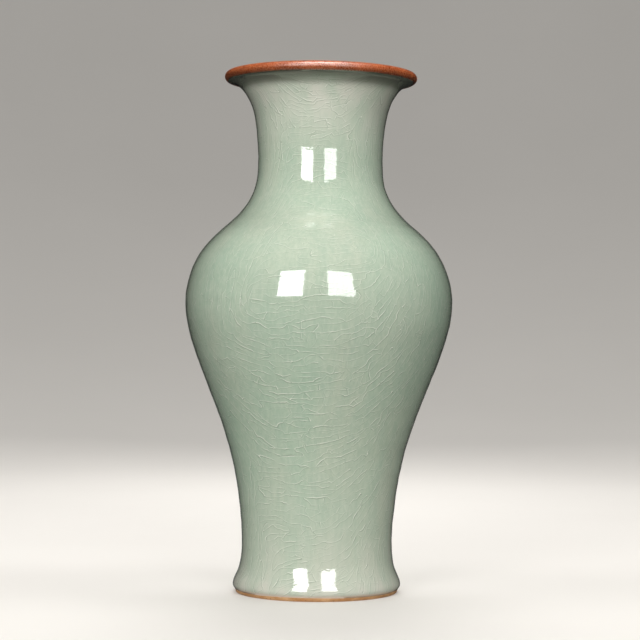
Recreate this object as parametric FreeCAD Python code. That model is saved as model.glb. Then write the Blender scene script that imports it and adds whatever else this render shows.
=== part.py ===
import FreeCAD, Part
import math
import os

# Crackle-glazed celadon vase: flared mouth, short neck, full shoulder, tapered body and spread foot.
#
# It is built the way a thrown vase is built. Three thrown sections and a foot ring are luted
# together with slip, the walls are glazed inside and out, the recess under the foot is glazed,
# and the lip is dressed with iron. The clay of the foot ring stays bare where the vase stands.
#
# Every piece is turned about +Z, so each one starts as a cross-section in the XZ half plane.
# The origin is the centre of the resting plane. Lengths are in millimetres.

# ---- Driving dimensions -------------------------------------------------------------------
HEIGHT = 300.0          # resting plane to the top of the lip
LIP_RADIUS = 55.6       # outermost radius of the mouth
NECK_RADIUS = 35.95     # narrowest point of the neck
BELLY_RADIUS = 77.1     # widest point of the body
WAIST_RADIUS = 43.4     # narrowest point above the foot
FOOT_RADIUS = 48.4      # widest point of the spread foot

LIP_BEAD = 2.75         # radius of the round section of the lip
LIP_START_DEG = -60.0   # where the iron dressing starts, on the underside of the lip
LIP_END_DEG = 120.0     # where it ends, inside the mouth
DRESSING = 0.5          # thickness of the iron dressing

WALL_TOP = 4.4          # clay and both glazes together, at the mouth
WALL_FOOT = 6.8         # the same, near the foot
GLAZE_TOP = 0.7         # the outer glaze is thin at the mouth
GLAZE_FOOT = 1.1        # and gathers towards the foot as it runs in the kiln
INNER_GLAZE = 0.6
FLOOR_HEIGHT = 14.5     # inside floor above the resting plane

WELL_DEPTH = 7.5        # recess under the foot, before it is glazed
WELL_RADIUS = 38.6      # of the recess at its ceiling
WELL_GLAZE = 0.6
WELL_FILLET = 1.5
FOOT_INSET = 2.3        # the resting face starts this far inside the spread foot
FOOT_FACE = 6.2         # width of the resting face
FOOT_EDGE = 0.5         # rounding of the bare clay edges
BARE_CLAY = 1.9         # height of the bare clay above the resting plane
TOE_DEPTH = 0.7         # the glaze at its lower edge, measured across
TOE_BULGE = 0.12        # how far that edge rounds out

SLIP_FILM = 0.5         # slip left between two luted pieces
SEAM_RISE = 1.6         # height of the ridge that locates two luted rims
LOWER_SEAM = 148.0      # height of the seam between base and shoulder sections
UPPER_SEAM = 227.0      # height of the seam between shoulder and neck sections
REACH = 2.0             # how far a cutting outline passes each side of the wall
OUTSIDE = 120.0         # a radius and height margin clear of the whole vase

# The outer surface below the lip, as (radius, height), from the mouth down to the foot.
OUTLINE = [
    (48.3, 292.7), (43.4, 287.5), (39.2, 278.5), (36.8, 264.0),
    (NECK_RADIUS, 249.0), (37.9, 233.0), (45.9, 219.0), (60.4, 205.5), (71.8, 190.0),
    (BELLY_RADIUS, 166.0), (72.1, 141.0), (59.9, 109.0), (49.5, 77.0), (44.4, 46.0),
    (WAIST_RADIUS, 28.0), (43.9, 20.0), (45.3, 13.5), (47.3, 8.7), (FOOT_RADIUS, 5.0),
]
GLAZE_TOE = (47.8, 2.3)         # where the glaze surface stops above the bare clay
FLOOR_CURVE = [(34.4, 20.5), (28.5, 16.0), (20.0, 14.8), (10.0, FLOOR_HEIGHT)]  # inside, wall to floor
WALL_STATIONS = 15              # outline points that the inside wall follows


def at(radius, height):
    """A point of the cross-section."""
    return FreeCAD.Vector(radius, 0.0, height)


def on_bead(radius, degrees):
    """A point of the lip's round section, which shares one centre with its dressing."""
    angle = math.radians(degrees)
    return at(LIP_RADIUS - LIP_BEAD + radius * math.cos(angle), HEIGHT - LIP_BEAD + radius * math.sin(angle))


def smooth(points):
    """A spline through the points."""
    curve = Part.BSplineCurve()
    curve.interpolate(points)
    return curve


def line(start, end):
    return Part.LineSegment(start, end).toShape()


def arc(start, middle, end):
    return Part.Arc(start, middle, end).toShape()


def outward(curve, point):
    """The unit normal pointing away from the wall, on a curve that runs from mouth to foot."""
    tangent = curve.tangent(curve.parameter(point))[0]
    return at(-tangent.z, tangent.x)


def face(edges):
    return Part.Face(Part.Wire(Part.__sortEdges__(edges)))


def outline_face(points):
    return Part.Face(Part.makePolygon(points + points[:1]))


def share_down(height):
    """0 at the mouth and 1 at the resting plane."""
    return 1.0 - height / HEIGHT


def glaze_depth(height):
    return GLAZE_TOP + (GLAZE_FOOT - GLAZE_TOP) * share_down(height)


def wall_depth(height):
    return WALL_TOP + (WALL_FOOT - WALL_TOP) * share_down(height)


# ---- Curves of the cross-section ----------------------------------------------------------
CLAY_BEAD = LIP_BEAD - DRESSING
stations = [at(*station) for station in OUTLINE]
toe = at(*GLAZE_TOE)
outer_surface = smooth([on_bead(LIP_BEAD, LIP_START_DEG)] + stations + [toe])


def behind(point, depth):
    """The point moved into the wall, square to the outer surface."""
    return point - outward(outer_surface, point) * depth


FOOT_OUTER = FOOT_RADIUS - FOOT_INSET
FOOT_INNER = FOOT_OUTER - FOOT_FACE
clay_toe = at(GLAZE_TOE[0] - TOE_DEPTH, BARE_CLAY)
clay_outer = smooth(
    [on_bead(CLAY_BEAD, LIP_START_DEG)] + [behind(p, glaze_depth(p.z)) for p in stations] + [clay_toe]
)

inner_points = [on_bead(LIP_BEAD, LIP_END_DEG)] + [behind(p, wall_depth(p.z)) for p in stations[:WALL_STATIONS]]
inner_points += [at(*point) for point in FLOOR_CURVE] + [at(0.0, FLOOR_HEIGHT)]
inner_surface = smooth(inner_points)
clay_inner_points = [on_bead(CLAY_BEAD, LIP_END_DEG)]
clay_inner_points += [p + outward(inner_surface, p) * INNER_GLAZE for p in inner_points[1:-1]]
clay_inner_points += [at(0.0, FLOOR_HEIGHT - INNER_GLAZE)]
clay_inner = smooth(clay_inner_points)


def well_wall(height):
    """The inner side of the foot ring, which leans out a little towards its edge."""
    lean = (FOOT_INNER - FOOT_EDGE - WELL_RADIUS) * (WELL_DEPTH - height) / (WELL_DEPTH - FOOT_EDGE)
    return at(WELL_RADIUS + lean, height)


def clay_section():
    """The whole clay body in cross-section, before it is parted into luted pieces."""
    corner = FOOT_EDGE * (1.0 - math.sqrt(0.5))
    outer_edge = at(FOOT_OUTER + FOOT_EDGE, FOOT_EDGE)
    inner_edge = well_wall(FOOT_EDGE)
    return face([
        clay_outer.toShape(),
        line(clay_toe, outer_edge),
        arc(outer_edge, outer_edge + at(-corner, corner - FOOT_EDGE), at(FOOT_OUTER, 0.0)),
        line(at(FOOT_OUTER, 0.0), at(FOOT_INNER, 0.0)),
        arc(at(FOOT_INNER, 0.0), inner_edge + at(corner, corner - FOOT_EDGE), inner_edge),
        line(inner_edge, well_wall(WELL_DEPTH)),
        line(well_wall(WELL_DEPTH), at(0.0, WELL_DEPTH)),
        line(at(0.0, WELL_DEPTH), at(0.0, FLOOR_HEIGHT - INNER_GLAZE)),
        clay_inner.toShape(),
        arc(on_bead(CLAY_BEAD, LIP_END_DEG), on_bead(CLAY_BEAD, 30.0), on_bead(CLAY_BEAD, LIP_START_DEG)),
    ])


def seam_line(height, lift):
    """A ridged line across the wall, from outside to inside, raised along the wall by lift."""
    outer = clay_outer.value(clay_outer.parameter(behind(on_outline(height), glaze_depth(height))))
    inner = clay_inner.value(clay_inner.parameter(outer))
    across = (outer - inner).normalize()
    up = at(-across.z, across.x)
    ridge = (outer + inner) * 0.5 + up * SEAM_RISE
    past_outer = outer + (outer - ridge).normalize() * REACH
    past_inner = inner + (inner - ridge).normalize() * REACH
    return [p + up * lift for p in (past_outer, ridge, past_inner)]


def on_outline(height):
    """The point of the outer surface at a height."""
    level = Part.LineSegment(at(0.0, height), at(OUTSIDE, height))
    hit = outer_surface.intersect(level)[0]
    return at(hit.X, hit.Z)


def zone(low, high):
    """The half plane between two lines, each running from outside to inside."""
    points = [at(OUTSIDE, low[0].z)] + low + [at(-REACH, low[-1].z)]
    points += [at(-REACH, high[-1].z)] + high[::-1] + [at(OUTSIDE, high[0].z)]
    return outline_face(points)


def level_line(height):
    return [at(WELL_RADIUS * 1.5, height), at(0.0, height)]


def turned(section):
    """A solid of revolution from a cross-section."""
    return section.revolve(at(0.0, 0.0), at(0.0, 1.0), 360.0)


def clay_pieces():
    """The clay body parted at its seams, bottom to top, with the film of slip in each seam."""
    body = clay_section()
    film_low = WELL_DEPTH - SLIP_FILM
    levels = [
        level_line(-OUTSIDE), level_line(film_low), level_line(WELL_DEPTH),
        seam_line(LOWER_SEAM, 0.0), seam_line(LOWER_SEAM, SLIP_FILM),
        seam_line(UPPER_SEAM, 0.0), seam_line(UPPER_SEAM, SLIP_FILM),
        level_line(HEIGHT + OUTSIDE),
    ]
    names = [
        "foot_ring", "foot_slip_seam", "base_section", "lower_slip_seam",
        "shoulder_section", "upper_slip_seam", "neck_section",
    ]
    pieces = {}
    for name, low, high in zip(names, levels, levels[1:]):
        pieces[name] = turned(body.common(zone(low, high)).Faces[0])
    return pieces


def outer_glaze():
    """The celadon coat outside, from the underside of the lip to a round toe above the foot."""
    bulge = (toe + clay_toe) * 0.5 + outward(outer_surface, toe) * TOE_BULGE
    return turned(face([
        outer_surface.toShape(),
        arc(toe, bulge, clay_toe),
        clay_outer.toShape(),
        line(on_bead(CLAY_BEAD, LIP_START_DEG), on_bead(LIP_BEAD, LIP_START_DEG)),
    ]))


def inner_glaze():
    """The coat inside, from the lip down the wall and across the floor."""
    return turned(face([
        inner_surface.toShape(),
        line(at(0.0, FLOOR_HEIGHT), at(0.0, FLOOR_HEIGHT - INNER_GLAZE)),
        clay_inner.toShape(),
        line(on_bead(CLAY_BEAD, LIP_END_DEG), on_bead(LIP_BEAD, LIP_END_DEG)),
    ]))


def lip_iron_band():
    """The iron dressing that wraps the round lip."""
    half_way = (LIP_START_DEG + LIP_END_DEG) / 2
    return turned(face([
        arc(on_bead(LIP_BEAD, LIP_START_DEG), on_bead(LIP_BEAD, half_way), on_bead(LIP_BEAD, LIP_END_DEG)),
        line(on_bead(LIP_BEAD, LIP_END_DEG), on_bead(CLAY_BEAD, LIP_END_DEG)),
        arc(on_bead(CLAY_BEAD, LIP_END_DEG), on_bead(CLAY_BEAD, half_way), on_bead(CLAY_BEAD, LIP_START_DEG)),
        line(on_bead(CLAY_BEAD, LIP_START_DEG), on_bead(LIP_BEAD, LIP_START_DEG)),
    ]))


def foot_well_glaze():
    """The coat in the recess under the foot, stopping short of the bare resting edge."""
    ceiling = WELL_DEPTH - WELL_GLAZE
    stop = well_wall(BARE_CLAY)
    inside_stop = stop + at(-WELL_GLAZE, WELL_GLAZE / 2)
    side_top = well_wall(ceiling - WELL_FILLET) + at(-WELL_GLAZE, 0.0)
    side_end = at(side_top.x - WELL_FILLET, ceiling)
    turn = WELL_FILLET * math.sqrt(0.5)
    return turned(face([
        line(at(0.0, WELL_DEPTH), well_wall(WELL_DEPTH)),
        line(well_wall(WELL_DEPTH), stop),
        line(stop, inside_stop),
        line(inside_stop, side_top),
        arc(side_top, at(side_end.x + turn, side_top.z + turn), side_end),
        line(side_end, at(0.0, ceiling)),
        line(at(0.0, ceiling), at(0.0, WELL_DEPTH)),
    ]))


def main():
    pieces = clay_pieces()
    pieces["outer_glaze"] = outer_glaze()
    pieces["inner_glaze"] = inner_glaze()
    pieces["foot_well_glaze"] = foot_well_glaze()
    pieces["lip_iron_band"] = lip_iron_band()
    os.makedirs("parts", exist_ok=True)
    for name, piece in pieces.items():
        if piece.ShapeType != "Solid" or not piece.isValid():
            raise ValueError(f"{name} is not one valid solid")
        piece.exportStep(f"parts/{name}.step")
        print(f"{name}: {piece.Volume / 1000:.1f} cm3, {len(piece.Faces)} faces")


main()
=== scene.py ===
"""The looks of a celadon crackle vase: glaze coats, iron lip, bare foot, crackle, and a plain studio."""

import math
import random

import bmesh
import bpy
import numpy as np
from mathutils import Matrix, Vector


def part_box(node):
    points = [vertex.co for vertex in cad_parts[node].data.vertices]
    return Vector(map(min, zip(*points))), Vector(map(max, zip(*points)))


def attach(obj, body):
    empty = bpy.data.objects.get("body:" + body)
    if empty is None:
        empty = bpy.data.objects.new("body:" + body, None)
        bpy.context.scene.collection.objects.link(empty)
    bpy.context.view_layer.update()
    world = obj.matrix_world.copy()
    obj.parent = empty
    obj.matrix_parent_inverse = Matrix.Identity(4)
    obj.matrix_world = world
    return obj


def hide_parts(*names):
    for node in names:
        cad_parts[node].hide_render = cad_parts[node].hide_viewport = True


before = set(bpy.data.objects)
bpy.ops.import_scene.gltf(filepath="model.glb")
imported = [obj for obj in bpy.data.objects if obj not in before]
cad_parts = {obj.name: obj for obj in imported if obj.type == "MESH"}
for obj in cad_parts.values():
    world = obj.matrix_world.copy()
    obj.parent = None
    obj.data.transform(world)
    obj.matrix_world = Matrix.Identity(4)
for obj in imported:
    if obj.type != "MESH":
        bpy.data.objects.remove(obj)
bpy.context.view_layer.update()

MM = 0.001
FULL_TURN = 2 * math.pi

# ---- Measures of the looks, in metres unless named otherwise --------------------------------
ROW_GAP = 1.15 * MM             # between mesh rows on a glazed surface
BACK_GAP = 8 * MM               # between mesh rows where a coat meets the clay and isn't seen
COLUMNS = 240                   # mesh columns round the vase
LIP_START = math.radians(-60)   # where the iron dressing starts on the round lip, as in the frame
LIP_END = math.radians(120)
LIP_STEPS = 26
LIP_FEATHER = math.radians(3)   # how far the dressing runs over the glaze
LIP_LIFT = 0.05 * MM
SEEN_SHARE = 0.92               # of a coat's texture given to its seen side
CRACK_STEP = 0.9 * MM           # length of one straight piece of a crack
CRACK_LIFT = 0.03 * MM          # cracks stand this far proud of the glaze
CRACK_WIDTH = 0.5 * MM          # of the brightest cracks
KNOT_SHARE = 0.35               # of crack ends that finish in a bright knot


# ---- Surfaces turned about the vase's axis ---------------------------------------------------
def column(items, field):
    """One vector field of every vertex or polygon, as an array."""
    values = np.zeros(len(items) * 3)
    items.foreach_get(field, values)
    return values.reshape(-1, 3)


def node_points(node, wanted=lambda outward, upward: outward == outward):
    """The (radius, height) points of a CAD node's faces whose normal is wanted."""
    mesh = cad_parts[node].data
    centres = column(mesh.polygons, "center")
    normals = column(mesh.polygons, "normal")
    reach = np.maximum(np.hypot(centres[:, 0], centres[:, 1]), 1e-9)
    outward = (centres[:, :2] * normals[:, :2]).sum(1) / reach
    picked = set()
    for index in np.nonzero(wanted(outward, normals[:, 2]))[0]:
        picked.update(mesh.polygons[index].vertices)
    places = column(mesh.vertices, "co")[sorted(picked)]
    points = np.stack([np.hypot(places[:, 0], places[:, 1]), places[:, 2]], 1)
    return np.unique(points.round(7), axis=0)


def spaced(points, gap):
    """The points of a line that are at least a gap apart, with both its ends."""
    kept = [points[0]]
    for point in points[1:-1]:
        if math.dist(point, kept[-1]) >= gap and math.dist(point, points[-1]) >= gap:
            kept.append(point)
    return np.array(kept + [points[-1]])


def natural_spline(knots, values, places):
    """A natural cubic spline through the values, read at other places."""
    gaps = np.diff(knots)
    slopes = np.diff(values) / gaps
    count = len(knots)
    matrix = np.eye(count)
    bends = np.zeros(count)
    for i in range(1, count - 1):
        matrix[i, i - 1:i + 2] = gaps[i - 1], 2 * (gaps[i - 1] + gaps[i]), gaps[i]
        bends[i] = 6 * (slopes[i] - slopes[i - 1])
    second = np.linalg.solve(matrix, bends)
    i = np.clip(np.searchsorted(knots, places) - 1, 0, count - 2)
    a = (knots[i + 1] - places) / gaps[i]
    b = 1 - a
    curve = ((a**3 - a) * second[i] + (b**3 - b) * second[i + 1]) * gaps[i] ** 2 / 6
    return a * values[i] + b * values[i + 1] + curve


class Turned:
    """A surface turned about +Z. A place on it is an angle from the front and a length from its top end."""

    FINE = 0.1 * MM

    KNOT_GAP = 1.5 * MM
    SLANT = 0.05    # on a level part, the outermost point counts as the highest

    def __init__(self, points):
        order = np.argsort(-(points[:, 1] + self.SLANT * points[:, 0]))
        knots = spaced(points[order], self.KNOT_GAP)
        lengths = np.concatenate([[0], np.cumsum(np.hypot(*np.diff(knots, axis=0).T))])
        self.along = np.linspace(0, lengths[-1], int(lengths[-1] / self.FINE))
        self.radii = np.maximum(natural_spline(lengths, knots[:, 0], self.along), 0)
        self.heights = natural_spline(lengths, knots[:, 1], self.along)
        self.length = lengths[-1]
        across = np.gradient(self.radii)
        down = np.gradient(self.heights)
        size = np.hypot(across, down)
        self.outward = -down / size
        self.upward = across / size

    def radius(self, along):
        return np.interp(along, self.along, self.radii)

    def height(self, along):
        return np.interp(along, self.along, self.heights)

    def place(self, angle, along, lift=0.0):
        """Points in space, lifted off the surface."""
        radius = self.radius(along) + lift * np.interp(along, self.along, self.outward)
        height = self.height(along) + lift * np.interp(along, self.along, self.upward)
        return np.stack([radius * np.sin(angle), -radius * np.cos(angle), height + 0 * angle], -1)

    def rows(self, gap):
        return np.linspace(0, self.length, max(2, round(self.length / gap)))


def hand_waves(angle, along):
    """How far the thrown wall stands off its true form, in metres: soft rings, leaning as they go round."""
    lift = 0.0
    for turns, wave, size, phase in HAND_WAVES:
        lift = lift + size * np.sin(turns * angle + FULL_TURN * along / wave + phase)
    return lift


wave_dice = random.Random(11)
HAND_WAVES = [
    (wave_dice.randint(-4, 4), wave_dice.uniform(5, 45) * MM, 0.02 * MM, wave_dice.uniform(0, FULL_TURN))
    for _ in range(14)
]
around = np.arange(COLUMNS) * FULL_TURN / COLUMNS


def ring(radius, height):
    """A ring of points round the axis. Radius and height are one number, or one for every column."""
    return np.stack([radius * np.sin(around), -radius * np.cos(around), height + 0 * around], -1)


def mesh_object(name, vertices, faces, corners=None):
    """A smooth mesh. Corners are the places of each face's corners in the piece's texture."""
    mesh = bpy.data.meshes.new(name)
    mesh.from_pydata([tuple(v) for v in vertices], [], faces)
    mesh.polygons.foreach_set("use_smooth", [True] * len(mesh.polygons))
    if corners is not None:
        layer = mesh.uv_layers.new(name="OFBake")
        layer.data.foreach_set("uv", np.array(corners, dtype=float).ravel())
    mesh.update()
    made = bpy.data.objects.new(name, mesh)
    bpy.context.scene.collection.objects.link(made)
    return made


def ring_mesh(name, rings, levels=None):
    """A closed mesh from rings of points, the last ring joined to the first.

    Levels are the heights of the rings in the piece's texture, with one more for the joining strip."""
    count = len(rings)
    if levels is None:
        levels = np.linspace(0, 1, count + 1)
    faces, corners = [], []
    for i in range(count):
        here, after = i * COLUMNS, (i + 1) % count * COLUMNS
        for j in range(COLUMNS):
            k = (j + 1) % COLUMNS
            faces.append((here + j, after + j, after + k, here + k))
            near, far = j / COLUMNS, (j + 1) / COLUMNS
            corners += [(near, levels[i]), (near, levels[i + 1]), (far, levels[i + 1]), (far, levels[i])]
    made = mesh_object(name, np.concatenate(rings), faces, corners)
    cleaned = bmesh.new()
    cleaned.from_mesh(made.data)
    bmesh.ops.remove_doubles(cleaned, verts=cleaned.verts, dist=0.5e-6)
    bmesh.ops.dissolve_degenerate(cleaned, edges=cleaned.edges, dist=0.5e-6)
    bmesh.ops.recalc_face_normals(cleaned, faces=cleaned.faces)
    cleaned.to_mesh(made.data)
    cleaned.free()
    return made


def coat(name, seen, back):
    """A closed coat from its seen side and its hidden side."""
    rows, back_rows = seen.rows(ROW_GAP), back.rows(BACK_GAP)[::-1]
    rings = [seen.place(around, row, hand_waves(around, row)) for row in rows]
    rings += [back.place(around, row) for row in back_rows]
    back_levels = np.linspace(SEEN_SHARE, 1, len(back_rows) + 2)[1:]
    return ring_mesh(name, rings, np.concatenate([SEEN_SHARE * rows / seen.length, back_levels]))


# ---- Crackle ---------------------------------------------------------------------------------
# How the cracks run in each part of the outer glaze: turn from the front in degrees, height in
# millimetres, and lean, the rise towards the right in degrees.
GRAIN = [
    (0, 290, 0), (-35, 288, -55), (35, 288, 50), (0, 262, 4), (-55, 262, 84), (55, 262, 88),
    (0, 238, 0), (-50, 235, 80), (50, 235, -80), (0, 214, 0), (-40, 212, 84), (40, 212, -84),
    (0, 178, 0), (-50, 165, 82), (55, 160, 80), (30, 156, 50), (0, 132, 0), (-41, 139, -18),
    (-75, 140, -60), (30, 114, 45), (0, 104, -3), (-53, 90, -50), (60, 100, 80), (0, 78, 18),
    (31, 67, 40), (49, 75, 70), (-55, 68, 86), (-30, 65, 0), (-8, 55, -18), (28, 51, 50),
    (0, 30, 0), (-50, 18, 86), (27, 35, 55), (44, 20, 88), (0, 8, 10),
    (110, 270, 60), (180, 265, -10), (-110, 265, -50), (110, 215, -70), (180, 210, 0),
    (-110, 215, 60), (105, 160, 30), (150, 150, -20), (180, 165, 0), (-150, 150, 40),
    (-110, 150, -65), (100, 110, 60), (140, 95, 10), (180, 110, -30), (-140, 105, 0),
    (-100, 100, -45), (105, 60, 84), (150, 55, 20), (180, 60, -10), (-150, 55, 35),
    (-105, 55, 80), (110, 18, 80), (180, 20, 60), (-110, 18, -80),
]
GRAIN_REACH = 14 * MM
GRAIN_FALL = 1.6                # how fast a place in the map loses its say with distance
# Room between cracks, in millimetres, how sharply they kink, in radians, and how clearly they show.
CRACK_GAPS = [
    (0, 2.2), (20, 2.6), (60, 3.1), (160, 3.1), (200, 2.8), (225, 2.6), (250, 2.1), (268, 1.5), (300, 1.3),
]
CRACK_KINKS = [(0, 0.55), (235, 0.55), (262, 0.8), (300, 0.9)]
CRACK_SEEN = [
    (0, 0.85), (20, 0.75), (50, 0.78), (110, 0.88), (150, 0.88), (175, 0.72),
    (190, 0.56), (230, 0.55), (255, 0.68), (272, 0.88), (300, 1.0),
]


def at_height(table, height):
    """A value from a table of (height in millimetres, value)."""
    return float(np.interp(height / MM, [row[0] for row in table], [row[1] for row in table]))


class Crackle:
    """Cracks that grow over a turned surface and stop where they meet."""

    CELL = 3 * MM               # side of the boxes that points are looked up in
    TOUCH = 0.85 * CRACK_STEP   # a crack this close to another has met it
    KINK_CHANCE = 0.2           # at each step
    JITTER = 0.13               # unsteadiness of each step, in radians
    OWN_TAIL = 10               # a crack's newest points, which it can't meet
    LONG_STEPS = 120
    LONG_END_CHANCE = 0.022
    LONG_FOLLOW = 0.28          # share of the turn to the grain that each step takes
    SHORTEST = 12               # a long crack with no more points than this is dropped
    LONG_ROOM = 0.75            # free space a long crack starts in, as a share of the usual gap
    CROSS_ROOM = 0.72           # the same for a crack that leaves an older one

    def __init__(self, surface, grain, seed):
        self.surface = surface
        self.dice = random.Random(seed)
        self.cells = {}
        self.cracks = []
        self.turns = np.radians([row[0] for row in grain])
        self.levels = np.array([row[1] for row in grain]) * MM
        leans = 2 * np.radians([row[2] for row in grain])
        self.leans = np.exp(1j * leans)

    def lean(self, angle, along):
        """The way cracks run at a place, blended from the grain."""
        turn = np.abs((self.turns - angle + math.pi) % FULL_TURN - math.pi) * self.surface.radius(along)
        gap = turn**2 + (self.levels - self.surface.height(along)) ** 2 + GRAIN_REACH**2
        return float(np.angle((self.leans / gap**GRAIN_FALL).sum())) / 2

    def cell(self, point):
        return tuple(int(value // self.CELL) for value in point)

    def nearest(self, point, reach, skip=None):
        """The nearest crack point within reach, leaving out one crack."""
        span = int(reach // self.CELL) + 1
        x, y, z = self.cell(point)
        best, found = reach, None
        for i in range(x - span, x + span + 1):
            for j in range(y - span, y + span + 1):
                for k in range(z - span, z + span + 1):
                    for other, place, crack in self.cells.get((i, j, k), ()):
                        if crack != skip and math.dist(point, other) < best:
                            best, found = math.dist(point, other), place
        return found

    def point(self, angle, along):
        return tuple(self.surface.place(angle, along))

    def grow(self, angle, along, heading, steps, end_chance, follow):
        """One run of places, which wanders, follows the grain, and stops at another crack."""
        me = len(self.cracks)
        places, own = [(angle, along)], []
        for _ in range(steps):
            if follow:
                turn = (self.lean(angle, along) - heading + math.pi / 2) % math.pi - math.pi / 2
                heading += follow * turn
            restless = at_height(CRACK_KINKS, self.surface.height(along))
            kink = self.dice.gauss(0, restless) if self.dice.random() < self.KINK_CHANCE else 0.0
            heading += kink
            way = heading + self.dice.gauss(0, self.JITTER)
            angle += math.cos(way) * CRACK_STEP / float(self.surface.radius(along))
            along -= math.sin(way) * CRACK_STEP
            if not MM < along < self.surface.length - MM:
                break
            point = self.point(angle, along)
            met = self.nearest(point, self.TOUCH, skip=me)
            if met:
                turn = (met[0] - angle + math.pi) % FULL_TURN - math.pi
                places.append((angle + turn, met[1]))
                break
            if any(math.dist(point, other) < self.TOUCH for other in own[:-self.OWN_TAIL]):
                break
            places.append((angle, along))
            own.append(point)
            if self.dice.random() < end_chance:
                break
        return places

    def keep(self, places, strength):
        me = len(self.cracks)
        self.cracks.append((places, strength))
        for place in places:
            point = self.point(*place)
            self.cells.setdefault(self.cell(point), []).append((point, place, me))

    def gap(self, along):
        return at_height(CRACK_GAPS, self.surface.height(along)) * MM

    def long_cracks(self, tries):
        """Cracks that start in open glaze and run both ways along the grain."""
        widest = self.surface.radii.max()
        for _ in range(tries):
            along = self.dice.uniform(MM, self.surface.length - MM)
            angle = self.dice.uniform(-math.pi, math.pi)
            if self.dice.random() > self.surface.radius(along) / widest:
                continue
            if self.nearest(self.point(angle, along), self.LONG_ROOM * self.gap(along)):
                continue
            heading = self.lean(angle, along)
            habits = self.LONG_STEPS, self.LONG_END_CHANCE, self.LONG_FOLLOW
            one = self.grow(angle, along, heading, *habits)
            other = self.grow(angle, along, heading + math.pi, *habits)
            if len(one) + len(other) > self.SHORTEST:
                self.keep(other[::-1] + one[1:], self.dice.uniform(0.45, 1.0))

    def cross_cracks(self, tries, spread, room, steps, end_chance, strengths):
        """Shorter cracks that leave an older one at about a right angle.

        Spread is how far they stray from it, in radians, and room scales the gap they need."""
        older = len(self.cracks)
        for _ in range(tries):
            places = self.cracks[self.dice.randrange(older)][0]
            i = self.dice.randrange(len(places) - 1)
            (angle, along), (next_angle, next_along) = places[i], places[i + 1]
            radius = float(self.surface.radius(along))
            run = math.atan2(along - next_along, (next_angle - angle) * radius)
            heading = run + self.dice.choice((-1, 1)) * (math.pi / 2 + self.dice.gauss(0, spread))
            gap = self.gap(along) * room
            ahead = along - math.sin(heading) * gap
            if not MM < ahead < self.surface.length - MM:
                continue
            clear = self.point(angle + math.cos(heading) * gap / radius, ahead)
            if self.nearest(clear, self.CROSS_ROOM * gap):
                continue
            start = (
                angle + math.cos(heading) * CRACK_STEP / radius,
                along - math.sin(heading) * CRACK_STEP,
            )
            grown = self.grow(*start, heading, steps, end_chance, 0.0)
            if len(grown) > 2:
                self.keep([(angle, along)] + grown, self.dice.uniform(*strengths))


def ribbons(name, crackle, offset, width, fade):
    """Thin strips laid along every crack. Offset and width are shares of the crack's own width, and
    fade is how strong the strip is at its two edges."""
    surface = crackle.surface
    dice = np.random.default_rng(len(name))
    vertices, faces, tones, corners = [], [], [], []
    rise = np.array([0.0, 0.0012])  # height of a strip in the texture
    for places, strength in crackle.cracks:
        angles, alongs = np.array(places).T
        lift = hand_waves(angles, alongs) + CRACK_LIFT
        points = surface.place(angles, alongs, lift)
        normals = surface.place(angles, alongs, lift + MM) - points
        runs = np.gradient(points, axis=0)
        sides = np.cross(normals, runs)
        sides /= np.maximum(np.linalg.norm(sides, axis=1), 1e-12)[:, None]
        # Sides point up, so a strip with a negative offset, the painted shade, lies below the crack as under
        # light from above.
        if sides[:, 2].mean() < 0:
            sides = -sides
        seen = strength * np.array([at_height(CRACK_SEEN, surface.height(along)) for along in alongs])
        # A crack's brightness wavers along it, and a brighter stretch is wider.
        sparks = np.convolve(dice.standard_normal(len(seen) + 4), (0.5, 0.8, 1.0, 0.8, 0.5), "valid")
        seen = np.clip(seen * (0.85 + 0.16 * sparks), 0.05, 1.0)
        full = CRACK_WIDTH * (0.35 + 0.65 * seen)
        for end in (0, -1):     # an end is a bright knot or tapers off
            knot = dice.random() < KNOT_SHARE
            full[end] *= 1.5 if knot else 0.6
            seen[end] *= 1.5 if knot else 0.8
        first = len(vertices)
        turns = 0.5 + angles / FULL_TURN
        texture = np.stack([turns - math.floor(turns.mean()), alongs / surface.length], 1)
        near = points + sides * (full * (offset - width / 2))[:, None]
        far = points + sides * (full * (offset + width / 2))[:, None]
        for i in range(len(points)):
            vertices += [near[i], far[i]]
            tones += [seen[i] * fade[0], seen[i] * fade[1]]
            if i:
                k = first + 2 * i
                faces.append((k - 2, k, k + 1, k - 1))
                corners += [texture[i - 1], texture[i], texture[i] + rise, texture[i - 1] + rise]
    made = mesh_object(name, vertices, faces, corners)
    made.data.attributes.new("tone", "FLOAT", "POINT").data.foreach_set("value", tones)
    turn_outward(made, surface)
    return made


def turn_outward(made, surface):
    """Faces every strip away from the wall it lies on."""
    centres = column(made.data.polygons, "center")
    normals = column(made.data.polygons, "normal")
    lengths = np.interp(-centres[:, 2], -surface.heights, surface.along)
    out = np.interp(lengths, surface.along, surface.outward)
    up = np.interp(lengths, surface.along, surface.upward)
    reach = np.hypot(centres[:, 0], centres[:, 1])
    facing = (normals[:, :2] * centres[:, :2]).sum(1) / reach * out + normals[:, 2] * up
    for index in np.nonzero(facing < 0)[0]:
        made.data.polygons[index].flip()
    made.data.update()


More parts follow.
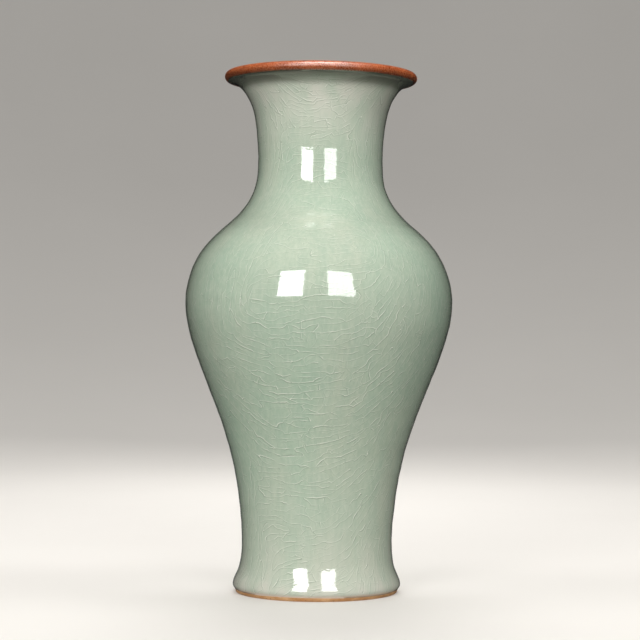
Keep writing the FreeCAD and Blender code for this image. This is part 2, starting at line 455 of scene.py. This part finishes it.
# ---- Materials -------------------------------------------------------------------------------
class Paint:
    """A node material, built from sockets."""

    def __init__(self, name):
        self.material = bpy.data.materials.new(name)
        self.material.use_nodes = True
        self.tree = self.material.node_tree
        self.shader = self.tree.nodes["Principled BSDF"]
        self.where = self.node("ShaderNodeTexCoord").outputs["Object"]

    def node(self, kind, **settings):
        made = self.tree.nodes.new(kind)
        for key, value in settings.items():
            setattr(made, key, value)
        return made

    def plug(self, value, socket):
        if isinstance(value, bpy.types.NodeSocket):
            self.tree.links.new(value, socket)
        else:
            socket.default_value = value

    def stretched(self, scale):
        made = self.node("ShaderNodeMapping")
        self.plug(self.where, made.inputs["Vector"])
        made.inputs["Scale"].default_value = scale
        return made.outputs["Vector"]

    def noise(self, size, detail=3.0, stretch=(1, 1, 1), distortion=0.0):
        """Soft noise from 0 to 1 whose features are about size metres across."""
        made = self.node("ShaderNodeTexNoise")
        self.plug(self.stretched([s / size for s in stretch]), made.inputs["Vector"])
        made.inputs["Scale"].default_value = 1.0
        made.inputs["Detail"].default_value = detail
        made.inputs["Distortion"].default_value = distortion
        return made.outputs["Fac"]

    def cracks(self, size, width, bend):
        """Lines between the cells of a net: 1 on a line, 0 away from it."""
        wander = self.node("ShaderNodeTexNoise")
        self.plug(self.stretched([1 / (size * 1.7)] * 3), wander.inputs["Vector"])
        wander.inputs["Scale"].default_value = 1.0
        moved = self.node("ShaderNodeVectorMath", operation="MULTIPLY_ADD")
        self.plug(wander.outputs["Color"], moved.inputs[0])
        moved.inputs[1].default_value = [bend] * 3
        self.plug(self.stretched([1 / size] * 3), moved.inputs[2])
        cells = self.node("ShaderNodeTexVoronoi", feature="DISTANCE_TO_EDGE")
        self.plug(moved.outputs[0], cells.inputs["Vector"])
        cells.inputs["Scale"].default_value = 1.0
        return self.span(cells.outputs["Distance"], width / size, 0.0)

    def span(self, value, low, high, to_low=0.0, to_high=1.0):
        """The value carried from one range to another, held at both ends."""
        made = self.node("ShaderNodeMapRange")
        self.plug(value, made.inputs["Value"])
        for socket, number in zip(("From Min", "From Max", "To Min", "To Max"), (low, high, to_low, to_high)):
            made.inputs[socket].default_value = number
        return made.outputs["Result"]

    def profile(self, value, stops):
        """A share that changes with height, from stops of (height in millimetres, share)."""
        made = self.node("ShaderNodeValToRGB")
        top = stops[-1][0]
        ramp = made.color_ramp
        while len(ramp.elements) < len(stops):
            ramp.elements.new(0.5)
        for element, (height, share) in zip(ramp.elements, stops):
            element.position = height / top
            element.color = (share, share, share, 1)
        self.plug(self.span(value, 0.0, top * MM), made.inputs["Fac"])
        return made.outputs["Color"]

    def maths(self, operation, one, other):
        made = self.node("ShaderNodeMath", operation=operation)
        self.plug(one, made.inputs[0])
        self.plug(other, made.inputs[1])
        return made.outputs[0]

    def blend(self, share, one, other, how="MIX"):
        made = self.node("ShaderNodeMix", data_type="RGBA", blend_type=how)
        self.plug(share, made.inputs["Factor"])
        self.plug(colour(one), made.inputs["A"])
        self.plug(colour(other), made.inputs["B"])
        return made.outputs["Result"]

    def attribute(self, name):
        return self.node("ShaderNodeAttribute", attribute_name=name).outputs["Fac"]

    def height(self):
        split = self.node("ShaderNodeSeparateXYZ")
        self.plug(self.where, split.inputs[0])
        return split.outputs["Z"]

    def bump(self, value, depth):
        made = self.node("ShaderNodeBump")
        made.inputs["Distance"].default_value = depth
        self.plug(value, made.inputs["Height"])
        self.plug(made.outputs[0], self.shader.inputs["Normal"])

    def finish(self, **inputs):
        for name, value in inputs.items():
            self.plug(colour(value), self.shader.inputs[name.replace("_", " ")])
        return self.material


def colour(value):
    """A socket or number as it is, or a hex colour as linear red, green, blue and alpha."""
    if not isinstance(value, str):
        return value
    parts = [int(value[i:i + 2], 16) / 255 for i in (0, 2, 4)]
    linear = [p / 12.92 if p <= 0.04045 else ((p + 0.055) / 1.055) ** 2.4 for p in parts]
    return (*linear, 1.0)


# Where the glaze shows paler, partly where it runs thin and partly painted light near the foot and at the top
# of the neck: height in millimetres, and how much.
PALE_GLAZE_AND_PAINTED_LIGHT = [
    (4, 1.0), (12, 0.5), (45, 0.2), (90, 0.0), (180, 0.0), (206, 0.08),
    (228, 0.05), (250, 0.05), (265, 0.35), (287, 0.9), (300, 0.6),
]
# Painted shade under the lip's overhang, partly iron from the lip run into the glaze: height in millimetres,
# and how dark.
LIP_SHADOW_AND_IRON = [(0, 0.0), (287.5, 0.0), (289, 0.2), (290, 0.45), (291, 0.7), (293, 0.78), (300, 0.82)]
# Inside the mouth the glaze is darker towards the lip, over a narrower band.
INNER_LIP_DARKENING = [(0, 0.0), (291, 0.0), (295, 0.25), (298, 0.6), (300, 0.7)]


def celadon(name, line=None, lip_darkening=LIP_SHADOW_AND_IRON):
    """The glaze. On the strips that draw its cracks, line is "light" for the pale line, partly painted
    highlight, and "shade" for the painted shade below it.
    """
    paint = Paint(name)
    # Pools, runs, milky clouds and fine upright streaks, from the broadest to the finest.
    pooled = paint.noise(46 * MM, 2.0, (1.0, 1.0, 0.35), 0.6)
    body = paint.blend(paint.span(pooled, 0.35, 0.65), "bed4bb", "cad6bf")
    runs = paint.noise(7 * MM, 3.0, (1.0, 1.0, 0.12))
    body = paint.blend(paint.span(runs, 0.4, 0.75, 0.0, 0.5), body, "b4ccb5")
    cloud = paint.noise(3.5 * MM, 4.0)
    body = paint.blend(paint.span(cloud, 0.45, 0.8, 0.0, 0.25), body, "dbe2cf")
    combed = paint.noise(1.5 * MM, 3.0, (1.0, 1.0, 0.22))
    body = paint.blend(paint.span(combed, 0.5, 0.72, 0.0, 0.24), body, "e6ead8")
    body = paint.blend(paint.span(combed, 0.48, 0.3, 0.0, 0.2), body, "a9c0a9")
    height = paint.height()
    patches = paint.noise(11 * MM, 3.0, (1.0, 1.0, 0.35))
    uneven = paint.span(patches, 0.35, 0.65, 0.5, 1.3)
    # Paler glaze: partly thin glaze, partly painted light near the foot and at the top of the neck.
    pale_and_lit = paint.maths("MULTIPLY", paint.profile(height, PALE_GLAZE_AND_PAINTED_LIGHT), uneven)
    body = paint.blend(pale_and_lit, body, "e4e3d4")
    if line is None:
        fine = paint.cracks(4.5 * MM, 0.22 * MM, 0.9)
        body = paint.blend(paint.maths("MULTIPLY", fine, 0.22), body, "e6ead8")
    # The crack's pale line: partly its own paleness, partly painted highlight where its face catches the
    # light.
    if line == "light":
        body = paint.blend(paint.attribute("tone"), body, "fbfdf0")
    # Painted shade: the glaze dimmed on the lower side of each crack, as its shadow under light from above.
    if line == "shade":
        dimmed = paint.blend(1.0, body, "b2bcad", "MULTIPLY")
        body = paint.blend(paint.attribute("tone"), body, dimmed)
    # Darker towards the lip: on the outer glaze, painted shade under the lip's overhang, partly iron run in
    # from the lip.
    body = paint.blend(paint.profile(height, lip_darkening), body, "4c4c3a")
    body = paint.blend(paint.span(height, 3.8 * MM, 2.6 * MM), body, "ead8c6")
    ripple = paint.noise(1.8 * MM, 3.0, (1.0, 1.0, 0.5))
    paint.bump(ripple, 0.04 * MM)
    return paint.finish(
        Base_Color=body,
        Roughness=paint.span(cloud, 0.3, 0.8, 0.03, 0.07),
        IOR=1.55,
        Coat_Weight=0.95,
        Coat_Roughness=0.02,
    )


def iron_dressing():
    paint = Paint("iron_dressing")
    cloud = paint.noise(9 * MM, 4.0)
    body = paint.blend(paint.span(cloud, 0.35, 0.7), "763619", "924a29")
    grain = paint.noise(0.7 * MM, 5.0)
    body = paint.blend(paint.span(grain, 0.5, 0.72, 0.0, 0.65), body, "bd7850")
    pits = paint.noise(1.6 * MM, 3.0)
    body = paint.blend(paint.span(pits, 0.62, 0.75, 0.0, 0.6), body, "5a2b14")
    paint.bump(grain, 0.2 * MM)
    return paint.finish(
        Base_Color=body,
        Roughness=paint.span(grain, 0.3, 0.8, 0.24, 0.36),
        IOR=1.85,
    )


def clay(name, dark, light, grit, rough=0.85):
    """Fired clay with fine grit and a few darker specks."""
    paint = Paint(name)
    cloud = paint.noise(6 * MM, 4.0)
    body = paint.blend(paint.span(cloud, 0.35, 0.7), dark, light)
    specks = paint.noise(0.9 * MM, 2.0)
    body = paint.blend(paint.span(specks, 0.64, 0.72, 0.0, 0.7), body, grit)
    sand = paint.noise(0.5 * MM, 4.0)
    paint.bump(sand, 0.12 * MM)
    return paint.finish(Base_Color=body, Roughness=rough)


def studio_floor():
    """Pale to the camera, and dark to the glaze, which then mirrors and gathers little but the softboxes."""
    paint = Paint("studio_floor")
    cloud = paint.noise(0.35, 4.0)
    body = paint.blend(cloud, "c8c4be", "d0ccc6")
    grain = paint.noise(1.2 * MM, 3.0)
    paint.bump(grain, 0.05 * MM)
    ray = paint.node("ShaderNodeLightPath")
    seen = ray.outputs["Is Camera Ray"]
    # Bounced light is pale close to the foot and falls off with distance from the vase.
    beside = paint.node("ShaderNodeVectorMath", operation="LENGTH")
    paint.plug(paint.where, beside.inputs[0])
    bounce = paint.blend(paint.span(beside.outputs["Value"], 0.1, 0.3), "bcbdb8", "4e5250")
    unseen = paint.blend(ray.outputs["Is Diffuse Ray"], "1e1e1e", bounce)
    return paint.finish(
        Base_Color=paint.blend(seen, unseen, body),
        Roughness=0.8,
        Emission_Color=body,
        Emission_Strength=paint.maths("MULTIPLY", seen, 0.36),
    )


# ---- The pieces ------------------------------------------------------------------------------
def wear(piece, material, *stands_for):
    """Finishes a piece: its material, its body, and the CAD node it stands for."""
    piece.data.materials.append(material)
    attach(piece, "root")
    if stands_for:
        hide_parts(*stands_for)
    return piece


def towards_wall(outward, upward):
    return outward > 0.05


def towards_axis(outward, upward):
    return outward < -0.05


def towards_inside(outward, upward):
    return (outward < -0.05) | ((upward > 0.7) & (outward < 0.3))


def towards_clay(outward, upward):
    return (outward > 0.05) | ((upward < -0.7) & (outward > -0.3))


outer = Turned(node_points("outer_glaze", towards_wall))
outer_back = Turned(node_points("outer_glaze", towards_axis))
inner = Turned(node_points("inner_glaze", towards_inside))
inner_back = Turned(node_points("inner_glaze", towards_clay))

glaze = celadon("celadon_glaze")
wear(coat("celadon_coat", outer, outer_back), glaze, "outer_glaze")
inner_glaze = celadon("celadon_inside", lip_darkening=INNER_LIP_DARKENING)
wear(coat("inner_coat", inner, inner_back), inner_glaze, "inner_glaze")


def lip_band():
    """The iron dressing round the lip, feathered a little way over the glaze on both sides."""
    low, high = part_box("lip_iron_band")
    bead = (high.z - low.z) / (1 - math.sin(LIP_START))
    centre_radius, centre_height = high.x - bead, high.z - bead
    clay_bead = bead - 0.5 * MM
    wander = 0.5 * np.sin(7 * around + 1.0) + 0.4 * np.sin(17 * around) + 0.3 * np.sin(31 * around)
    edge = LIP_FEATHER * (1 + wander)
    starts, ends = LIP_START - edge, LIP_END + np.roll(edge, COLUMNS // 3)
    rings = []
    for share in np.linspace(0, 1, LIP_STEPS):
        angles = starts + (ends - starts) * share
        lift = bead + LIP_LIFT * math.sin(math.pi * share) ** 0.5
        radius = centre_radius + lift * np.cos(angles)
        height = centre_height + lift * np.sin(angles)
        rings.append(ring(radius, height))
    for share in np.linspace(1, 0, LIP_STEPS // 2):
        angle = LIP_START + (LIP_END - LIP_START) * share
        radius = centre_radius + clay_bead * math.cos(angle)
        height = centre_height + clay_bead * math.sin(angle)
        rings.append(ring(radius, height))
    return ring_mesh("lip_band", rings)


wear(lip_band(), iron_dressing(), "lip_iron_band")


def foot_clay():
    """The bare ring under the glaze, with the small unevenness of turned clay."""
    points = node_points("foot_ring")
    middle = points.mean(0)
    order = np.argsort(np.arctan2(*(points - middle).T[::-1]))
    corners = spaced(points[order], 0.25 * MM)
    loop = []
    for start, end in zip(corners, np.roll(corners, -1, axis=0)):
        pieces = max(1, round(math.dist(start, end) / (0.9 * MM)))
        loop += [start + (end - start) * i / pieces for i in range(pieces)]
    dice = np.random.default_rng(5)
    rings = []
    for radius, height in loop:
        uneven = dice.normal(0, 0.015 * MM, COLUMNS)
        rings.append(ring(radius + uneven, height))
    return ring_mesh("foot_clay", rings)


iron_clay = clay("iron_clay", "cf9663", "ecbd8c", "8d5c36")
wear(foot_clay(), iron_clay, "foot_ring")

outside = Crackle(outer, GRAIN, seed=7)
outside.long_cracks(26000)
outside.cross_cracks(9000, spread=0.5, room=0.62, steps=52, end_chance=0.024, strengths=(0.15, 0.65))
outside.cross_cracks(9000, spread=0.7, room=0.45, steps=18, end_chance=0.06, strengths=(0.1, 0.45))
# Each crack is drawn as a pale line, partly painted highlight, with a strip of painted shade below it.
light = ribbons("crackle_light", outside, offset=0.0, width=1.0, fade=(0.8, 0.8))
wear(light, celadon("crackle_light", "light"))
shade = ribbons("crackle_shade", outside, offset=-1.25, width=1.5, fade=(0.0, 0.9))
wear(shade, celadon("crackle_shade", "shade"))

bisque = clay("body_clay", "b3a48c", "c8bba3", "7a6a54")
slip = clay("slip", "c2b49c", "d3c7b1", "8d7d66", 0.9)
for node, material in {
    "base_section": bisque, "shoulder_section": bisque, "neck_section": bisque,
    "foot_slip_seam": slip, "lower_slip_seam": slip, "upper_slip_seam": slip,
    "foot_well_glaze": glaze,
}.items():
    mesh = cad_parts[node].data
    mesh.materials.clear()
    mesh.materials.append(material)


# ---- The studio ------------------------------------------------------------------------------
def sweep():
    """A round pale floor that curves up into a wall on every side."""
    flat, bend, rise, columns, steps = 0.9, 1.6, 3.0, 96, 24
    line = [(0.05, 0.0), (0.4, 0.0), (flat, 0.0)]
    for i in range(1, steps + 1):
        turn = i / steps * math.pi / 2
        line.append((flat + bend * math.sin(turn), bend - bend * math.cos(turn)))
    line.append((flat + bend, rise))
    vertices = [(0.0, 0.0, 0.0)]
    faces = []
    for i, (radius, height) in enumerate(line):
        for j in range(columns):
            turn = j / columns * FULL_TURN
            vertices.append((radius * math.cos(turn), radius * math.sin(turn), height))
            here, beside = 1 + i * columns + j, 1 + i * columns + (j + 1) % columns
            if i:
                faces.append((here - columns, here, beside, beside - columns))
            else:
                faces.append((0, here, beside))
    return mesh_object("studio_sweep", vertices, faces)


floor = sweep()
floor.data.materials.append(studio_floor())


def softbox(name, centre, aim, width, height, power, only=None, spared=None):
    """A rectangular lamp aimed at a point. It can light only one object, or spare one."""
    lamp = bpy.data.lights.new(name, "AREA")
    lamp.shape = "RECTANGLE"
    lamp.size, lamp.size_y = width, height
    lamp.energy = power
    made = bpy.data.objects.new(name, lamp)
    made.location = centre
    made.rotation_euler = (Vector(aim) - Vector(centre)).to_track_quat("-Z", "Y").to_euler()
    made.visible_camera = False
    bpy.context.scene.collection.objects.link(made)
    if only or spared:
        made.light_linking.receiver_collection = bpy.data.collections.new(name)
        made.light_linking.receiver_collection.objects.link(only or spared)
    if spared:
        for linked in made.light_linking.receiver_collection.collection_objects:
            linked.light_linking.link_state = "EXCLUDE"
    return made


# The left and right boxes are what the neck, belly and foot mirror as pairs of windows.
BOX_DISTANCE = 1.0
BOX_HEIGHT = 0.605
lip = bpy.data.objects["lip_band"]
softbox("left_box", (-0.467, -BOX_DISTANCE, BOX_HEIGHT), (-0.467, 0, BOX_HEIGHT), 0.46, 0.63, 8.1)
softbox("right_box", (0.345, -BOX_DISTANCE, BOX_HEIGHT), (0.345, 0, BOX_HEIGHT), 0.435, 0.63, 5.5)
# The back and top boxes light the shoulder and the back, and the lip has a box of its own.
softbox("back_box", (0, 0.5, 1.15), (0, 0, 0.2), 0.7, 0.4, 4.2, spared=lip)
softbox("top_box", (0, 0.7, 1.3), (0, 0, 0.2), 0.6, 0.36, 3.1, spared=lip)
softbox("lip_box", (0.05, -0.5, 1.3), (0, 0, 0.3), 0.85, 0.26, 17.5, only=lip)
# The fills give soft light with no mirror image of their own.
for name, place, size, power in (
    ("left_fill", (-0.5, -0.12, 1.1), 0.4, 2.3),
    ("right_fill", (0.52, -0.12, 1.1), 0.4, 3.6),
    ("back_fill", (0, 0.9, 0.6), 0.6, 3.5),
):
    softbox(name, place, (0, 0, 0.2), size, size, power).visible_glossy = False
softbox("floor_box", (0, 0, 2.6), (0, 0.001, 0), 3.2, 3.2, 10.0, only=floor)

world = bpy.data.worlds.new("studio")
world.use_nodes = True
world.node_tree.nodes["Background"].inputs["Color"].default_value = colour("d8dce0")
world.node_tree.nodes["Background"].inputs["Strength"].default_value = 0.03
bpy.context.scene.world = world


def camera():
    """A long lens at belly height, turned and tilted a hair, as the vase was photographed."""
    distance, height, frame_width = 1.1112, 0.1464, 0.3713
    yaw, roll = math.radians(1.656), math.radians(0.535)
    aim_right, aim_down = 0.0314, 0.0111
    made = bpy.data.objects.new("camera", bpy.data.cameras.new("camera"))
    forward = Vector((math.sin(yaw), math.cos(yaw), 0))
    level = Vector((math.cos(yaw), -math.sin(yaw), 0))
    up = Vector((0, 0, 1))
    right = level * math.cos(roll) + up * math.sin(roll)
    top = up * math.cos(roll) - level * math.sin(roll)
    turn = Matrix((right, top, -forward)).transposed().to_4x4()
    made.matrix_world = Matrix.Translation((0, -distance, height)) @ turn
    made.data.lens = made.data.sensor_width * distance / frame_width
    made.data.shift_x = -aim_right / frame_width
    made.data.shift_y = aim_down / frame_width
    made.data.clip_start = 0.05
    bpy.context.scene.collection.objects.link(made)
    return made


bpy.context.scene.camera = camera()
bpy.context.scene.view_settings.view_transform = "Standard"
